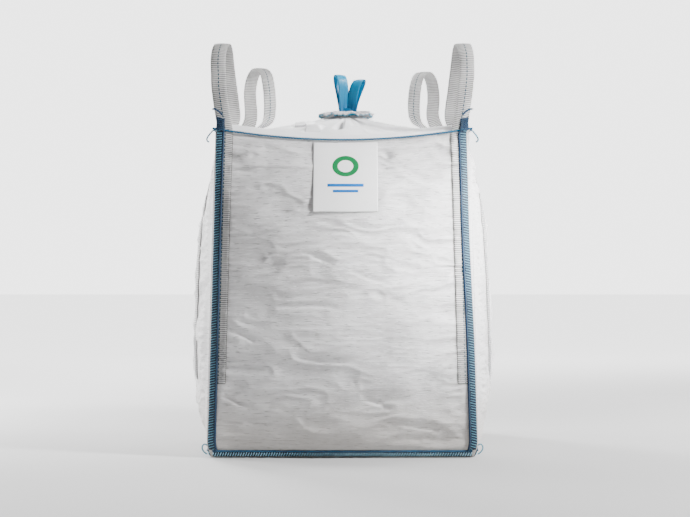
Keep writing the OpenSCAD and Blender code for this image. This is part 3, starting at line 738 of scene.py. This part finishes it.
def leg_stitches(side, middle):
    """Two lines of stitches up a leg, one across its foot and a lattice of crosses above that."""
    parts, out = [], WEB_GAP + WEB_T + 0.15
    for dx in (-21, 21):
        for z in np.arange(LEG_FOOT + 8, 1078, 7.6):
            parts.append(stitch(side, (middle(z) + dx, z), (middle(z + 5.4) + dx, z + 5.4), out))
    for k in range(9):
        x0 = middle(LEG_FOOT + 6) - 20 + 4.6 * k
        parts.append(stitch(side, (x0, LEG_FOOT + 6), (x0 + 3.4, LEG_FOOT + 6), out))
    for k in range(15):
        z0 = LEG_FOOT + 10 + 9 * k
        for flip in (1, -1):
            ends = [(middle(z0) - 18 * flip, z0), (middle(z0) + 18 * flip, z0 + 9)]
            for a, b in ((0.0, 0.30), (0.35, 0.65), (0.70, 1.0)):
                p, q = [[foot + (head - foot) * t for foot, head in zip(*ends)] for t in (a, b)]
                parts.append(stitch(side, p, q, out + 0.1, 0.5))
    return parts


for side, name in enumerate(SIDES):
    parts = []
    for sign in (-1, 1):
        if side in (FRONT, BACK):
            inward = FRONT_LEG[-sign] if side == FRONT else BACK_LEG
            parts += leg_stitches(side, lambda z, s=sign, i=inward: s * (corner(z) - i))
        else:
            parts += leg_stitches(side, lambda z, s=sign: s * SIDE_LEG)
    piece(f"leg_stitches_{name}", *joined(parts), GREY, "sewing_thread", replaces=[f"leg_stitching_{name}"])
    # Painted shadow: a dark thread along the inner edge and across the foot of each front and back leg, where
    # the webbing meets the cloth
    if side in (FRONT, BACK):
        parts, rise = [], np.arange(LEG_FOOT + 1, 1090, 3.0)
        for sign in (-1, 1):
            inner = 25.2 + (FRONT_LEG[-sign] if side == FRONT else BACK_LEG)
            x = np.linspace(3, inner, 20)
            parts.append(tube(on_face(side, sign * (corner(rise) - inner), rise, 2.6), 1.0, 6, 0.2, 0.1))
            foot = on_face(side, sign * (corner(LEG_FOOT) - x), LEG_FOOT - 0.4, 2.8)
            parts.append(tube(foot, 1.0, 6, 0.2, 0.1))
        piece(f"leg_edge_shadow_{name}", *joined(parts), EDGE_SHADOW_THREAD, "sewing_thread")


# ---- Overlocked seams ----
ZIG = 8.5


def overlock(start, end, seed):
    """Place along a seam, place across it from 0 to 1, and how deep the thread is, for one zigzag thread."""
    along = np.arange(start, end, 0.8)
    turn = (along / ZIG) % 1
    across = np.where(turn < 0.55, turn / 0.55, (1 - turn) / 0.45)
    deep = np.where(turn < 0.55, 0.0, np.sin(math.pi * np.clip((turn - 0.55) / 0.45, 0, 1)) ** 0.5)
    return along, np.clip(across + 0.05 * noise(along / 11, 0, seed), 0, 1), deep


def corner_seam(name, side, sign):
    """Bound seam beside a corner: a dark flange, a chain along its inner edge and a zigzag over it."""

    def at(z, inward):
        lean = 8 * ease((z - 300) / 500) * ease((1104 - z) / 24) if name == "front_right" else 0
        return sign * (corner(z) - inward - lean)

    z = np.concatenate([np.arange(26, 1092, 4.0), BAG_H + np.array([0, 10, 20, 30])])
    low_z, up = np.minimum(z, BAG_H), np.maximum(z - BAG_H, 0)
    lo = 1.2 + 3.8 * ease((z - LEG_FOOT + 22) / 22)
    offsets = np.array([31, 28, 17, 6, 3.0])
    hi = np.array([-1.2, 0, 0.5, 0, -1.2])
    rise = np.stack([0 * up, 0 * up, up], axis=-1)
    outer = np.stack([
        on_face(side, at(low_z, o), low_z, 6.8 + h) + rise for o, h in zip(offsets, hi)], axis=1)
    inner = np.stack([on_face(side, at(low_z, o), low_z, lo) + rise for o in offsets], axis=1)
    flat = np.stack(np.broadcast_arrays(offsets[None], z[:, None]), axis=-1)
    piece(f"seam_flange_{name}", *sheet(outer, inner, flat), FLANGE, "woven_cloth")
    z, swing, dip = overlock(28, 1092, 71)
    zig = on_face(side, at(z, 3.4 + 19.5 * swing), z, 7.9 - 2.9 * dip)
    piece(
        f"seam_zigzag_{name}", *tube(zig, 1.15, 6, 0.2, 0.1), BLUE, "overlock_thread",
        replaces=[f"corner_seam_{name}"])
    z = np.arange(24, 1094, 1.5)
    chain = on_face(side, at(z, 27.0), z, 7.6)
    wobble = 0.5 * np.sin(TAU * np.arange(len(chain)) / 4.6)
    chain = chain + turned(np.stack([wobble, -0.4 * wobble, 0 * wobble], axis=-1), side)
    parts = [tube(chain, 2.5, 8, 0.14, 0.22)]
    # The threads are drawn together into a wound head above the top edge
    t = np.linspace(0, 1, 170)
    middle_x = sign * (corner(BAG_H) - 17)
    head = np.stack([
        middle_x + sign * (12.5 + 1.5 * np.sin(9 * t)) * np.cos(TAU * 7 * t),
        -(corner(BAG_H) + 7.6) + 2.8 * np.sin(TAU * 7 * t),
        1088 + 44 * t + 3 * np.sin(TAU * 7 * t + 1)], axis=-1)
    parts.append(tube(turned(head, side), 1.9, 7, 0.15, 0.15))
    piece(f"seam_chain_{name}", *joined(parts), NAVY, "overlock_thread")


for name, side, sign in (
        ("front_left", FRONT, -1), ("front_right", FRONT, 1),
        ("back_left", BACK, 1), ("back_right", BACK, -1)):
    corner_seam(name, side, sign)

# Bound seam along the foot of each side
for side, name in enumerate(SIDES):
    x = np.arange(-430, 431, 5.0)
    levels = np.array([3.0, 5, 14, 23, 25])
    hi = np.array([-1.0, 0, 0.4, 0, -1.0])
    outer = np.stack([on_face(side, x, z, 4.0 + h) for z, h in zip(levels, hi)], axis=1)
    inner = np.stack([on_face(side, x, z, 1.0) for z in levels], axis=1)
    flat = np.stack(np.broadcast_arrays(levels[None], x[:, None]), axis=-1)
    piece(f"base_flange_{name}", *sheet(outer, inner, flat), FLANGE, "woven_cloth")
    x, swing, dip = overlock(-432, 432, 72 + side)
    zig = on_face(side, x, 4.0 + 13.0 * swing, 5.0 - 2.8 * dip)
    piece(
        f"base_zigzag_{name}", *tube(zig, 1.5, 6, 0.2, 0.1), PALE, "overlock_thread",
        replaces=[f"base_seam_{name}"])
    x = np.arange(-434, 434, 1.5)
    chain = on_face(side, x, 22.0 + 0.5 * np.sin(TAU * x / 7), 4.8)
    piece(f"base_chain_{name}", *tube(chain, 2.2, 8, 0.14, 0.2), CORD_BLUE, "overlock_thread")

# Chain-stitched cord round the top edge
path = bag_ring((np.arange(430) + 0.5) / 215 - 1, 1096.0, -7.6)
piece(
    "top_cord", *tube(path, 3.1, 8, 0.10, 0.2, closed=True), CORD_BLUE, "overlock_thread",
    replaces=["top_seam"])


# ---- Label ----
def label_out(x, z):
    """How far the label hangs outside the smooth face: closer at its sewn head, curling at its free foot."""
    down = (LABEL_HEAD - z) / (LABEL_HEAD - LABEL_FOOT)
    across = (x - LABEL_X) / (LABEL_W / 2)
    wave = 1.2 * np.sin(3.1 * down + 2 * across) * ease(down * 3)
    return 2.6 + 3.4 * ease(down) + wave + 4.5 * np.abs(across) ** 4 * ease((down - 0.55) / 0.45)


lx = LABEL_X + np.linspace(-0.5, 0.5, 61) * LABEL_W
lz = np.linspace(LABEL_FOOT, LABEL_HEAD, 77)
gx, gz = np.meshgrid(lx, lz)
outer = on_face(FRONT, gx, gz, label_out(gx, gz) + 0.8, loose=0)
inner = on_face(FRONT, gx, gz, label_out(gx, gz), loose=0)
label = piece(
    "label_sheet", *sheet(outer, inner, np.stack([gx, gz], axis=-1)), LABEL_FILM, "label_sheet",
    body=None, replaces=["document_label"])
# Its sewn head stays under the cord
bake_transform(label)


def ink_film(gx, gz, closed=False):
    """A film of ink on the label."""
    top = on_face(FRONT, gx, gz, label_out(gx, gz) + 1.15, loose=0)
    low = on_face(FRONT, gx, gz, label_out(gx, gz) + 0.95, loose=0)
    return sheet(top, low, np.stack([gx, gz], axis=-1), closed)


angle = TAU * np.arange(96) / 96
radius = np.linspace(26, 44, 9)
ring = ink_film(LABEL_X + np.cos(angle)[:, None] * radius, 990 + np.sin(angle)[:, None] * radius, True)
piece("mark_ring", *ring, GREEN_INK, "green_print", body="label", replaces=["label_ring"])
bars = []
for z, wide, high in ((904, 120, 12), (882, 84, 10)):
    bx, bz = np.meshgrid(LABEL_X + np.linspace(-0.5, 0.5, 30) * wide, np.linspace(z, z + high, 5))
    bars.append(ink_film(bx, bz))
piece("mark_bars", *joined(bars), BLUE_INK, "blue_print", body="label", replaces=["label_bars"])

# ---- Tie and bow ----
t = np.linspace(0, 1, 900)
wraps = np.stack([
    NECK_X + (41.5 + 1.2 * np.sin(TAU * 9 * t)) * np.cos(TAU * 3 * t),
    (41.5 + 1.2 * np.cos(TAU * 7 * t)) * np.sin(TAU * 3 * t),
    1175 + 7.5 * t + 0.8 * np.sin(TAU * 11 * t)], axis=-1)
piece("tie_wraps", *tube(wraps, 2.6, 8, 0.03, 0.15), TAPE, "tie_tape", replaces=["neck_tie"])

u, v = np.meshgrid(np.linspace(0, math.pi, 26), TAU * np.arange(36) / 36, indexing="ij")
crumple = 1 + 0.10 * ridges(u * 2.2, v * 1.3, 81) + 0.05 * np.sin(5 * v + 3 * u)
knot = np.stack([
    17 - 17 * np.cos(u),
    -6 - 7 * np.sin(u) * np.cos(v) * crumple,
    1197 + 6.5 * np.sin(u) * np.sin(v) * crumple], axis=-1)
flat = np.stack([v * 7, u * 12], axis=-1)
piece("bow_knot", *loft(knot[1:-1], flat[1:-1]), TAPE, "tie_tape", replaces=["tie_knot"])


def bow_loop(name, foot, lean, high, deep, yaw):
    """A loop of tape from inside the ruffle: up the front, over and down the back, leaning sideways."""
    a = np.linspace(0, math.pi, 90)
    up = high * np.sin(a) ** 0.7
    back = -deep * np.sin(2 * a) / 2 - 3 * np.cos(a)
    turn = math.radians(yaw)
    place = np.stack([
        foot[0] + lean * (up / high) ** 1.8 - back * math.sin(turn),
        foot[1] + back * math.cos(turn),
        foot[2] + up], axis=-1)
    place, run = spaced(place, 2.0)
    direction = unit(np.gradient(place, axis=0))
    width = np.array([math.cos(turn), math.sin(turn), 0.0])
    width = unit(width - direction * (direction @ width)[:, None])
    outward = np.cross(width, direction)
    near = np.minimum(run, run[-1] - run)
    size = (0.94 + 0.10 * ease(near / 60))[:, None] * 18
    span = np.linspace(-1, 1, 13)[None]
    edge = 0.5 * (1 - 0.6 * np.abs(span) ** 8)
    pleat = (1 - ease(near / 50))[:, None] * 1.3 * np.sin(span * 7)
    cup = 1.4 * span**2 * ease(near / 60)[:, None] + 0.5 * noise(run / 22, 0, 83)[:, None] * span
    aside = place[:, None] + width[:, None] * (span * size)[..., None]
    faces = [aside + outward[:, None] * (k * edge + pleat - cup)[..., None] for k in (1, -1)]
    flat = np.stack(np.broadcast_arrays(span * 18, near[:, None]), axis=-1)
    made = piece(
        f"bow_tape_{name}", *sheet(*faces, flat), TAPE, "tie_tape", body=None,
        replaces=[f"bow_loop_{name}"])
    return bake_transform(made)


bow_loop("left", (3, -6, 1184), -15, 139, 36, 24)
bow_loop("right", (33, -7, 1184), 30, 122, 36, -24)


# ---- Floor, world and lights ----
def axes(tree, output):
    """X, Y and Z of the place or direction that a texture coordinate gives."""
    split = tree.nodes.new("ShaderNodeSeparateXYZ")
    tree.links.new(tree.nodes.new("ShaderNodeTexCoord").outputs[output], split.inputs[0])
    return split.outputs


def ramp(tree, value, *limits):
    """A smooth step; limits are where it starts and ends, and what it gives there."""
    made = tree.nodes.new("ShaderNodeMapRange")
    made.interpolation_type = "SMOOTHSTEP"
    for socket, limit in zip(("From Min", "From Max", "To Min", "To Max"), limits):
        made.inputs[socket].default_value = limit
    tree.links.new(value, made.inputs["Value"])
    return made.outputs["Result"]


floor_mesh = bpy.data.meshes.new("floor")
floor_corners = [(x, y, -0.001) for x, y in ((-30, -30), (30, -30), (30, 30), (-30, 30))]
floor_mesh.from_pydata(floor_corners, [], [(0, 1, 2, 3)])
floor = bpy.data.objects.new("floor", floor_mesh)
bpy.context.scene.collection.objects.link(floor)
floor_look = bpy.data.materials.new("floor")
floor_look.use_nodes = True
tree = floor_look.node_tree
shader = tree.nodes["Principled BSDF"]
shader.inputs["Base Color"].default_value = (0.52, 0.52, 0.52, 1)
shader.inputs["Roughness"].default_value = 0.8
# Behind the bag the floor glows with painted light, brighter towards the backdrop, which leaves only a faint
# line between them
glow = ramp(tree, axes(tree, "Object")["Y"], 0.9, 5.5, 0.0, 2.6)
tree.links.new(glow, shader.inputs["Emission Strength"])
shader.inputs["Emission Color"].default_value = (1, 1, 1, 1)
floor_mesh.materials.append(floor_look)

# A soft sky with a bright band above the horizon, brightest behind the bag
world = bpy.data.worlds.new("world")
world.use_nodes = True
tree = world.node_tree
tree.nodes["Background"].inputs["Color"].default_value = (1, 1, 1, 1)
towards = axes(tree, "Generated")
strength = tree.nodes.new("ShaderNodeMath")
strength.operation = "MULTIPLY_ADD"
tree.links.new(ramp(tree, towards["Z"], 0.16, 0.30, 1.0, 0.0), strength.inputs[0])
tree.links.new(ramp(tree, towards["Y"], -0.2, 0.85, 1.0, 3.4), strength.inputs[1])
strength.inputs[2].default_value = 0.12
tree.links.new(strength.outputs[0], tree.nodes["Background"].inputs["Strength"])
bpy.context.scene.world = world


def area_light(name, place, aim, power, size, spread=180):
    """A square light at place that points at aim, in metres, watts and degrees."""
    light = bpy.data.lights.new(name, "AREA")
    light.energy, light.shape, light.size, light.spread = power, "SQUARE", size, math.radians(spread)
    made = bpy.data.objects.new(name, light)
    bpy.context.scene.collection.objects.link(made)
    made.location = place
    to = unit(np.array(aim, float) - np.array(place, float))
    made.rotation_euler = (math.acos(-to[2]), 0, math.atan2(-to[0], to[1]))


area_light("key", (2.8, -1.7, 3.1), (0.0, -0.45, 0.62), 345, 0.6)
area_light("back", (-2.0, 3.0, 3.0), (-0.1, 0.4, 0.9), 320, 1.2)
area_light("left", (-3.0, 1.1, 1.2), (-0.5, 0.1, 0.6), 200, 1.2)
area_light("right_front", (1.5, -1.6, 1.3), (0.50, -0.46, 0.80), 7, 0.4, 34)
area_light("top", (0.1, 0.1, 2.7), (0.05, 0.0, 1.1), 1.5, 0.4, 40)
area_light("right", (3.0, 1.1, 1.2), (0.5, 0.1, 0.6), 120, 1.2)
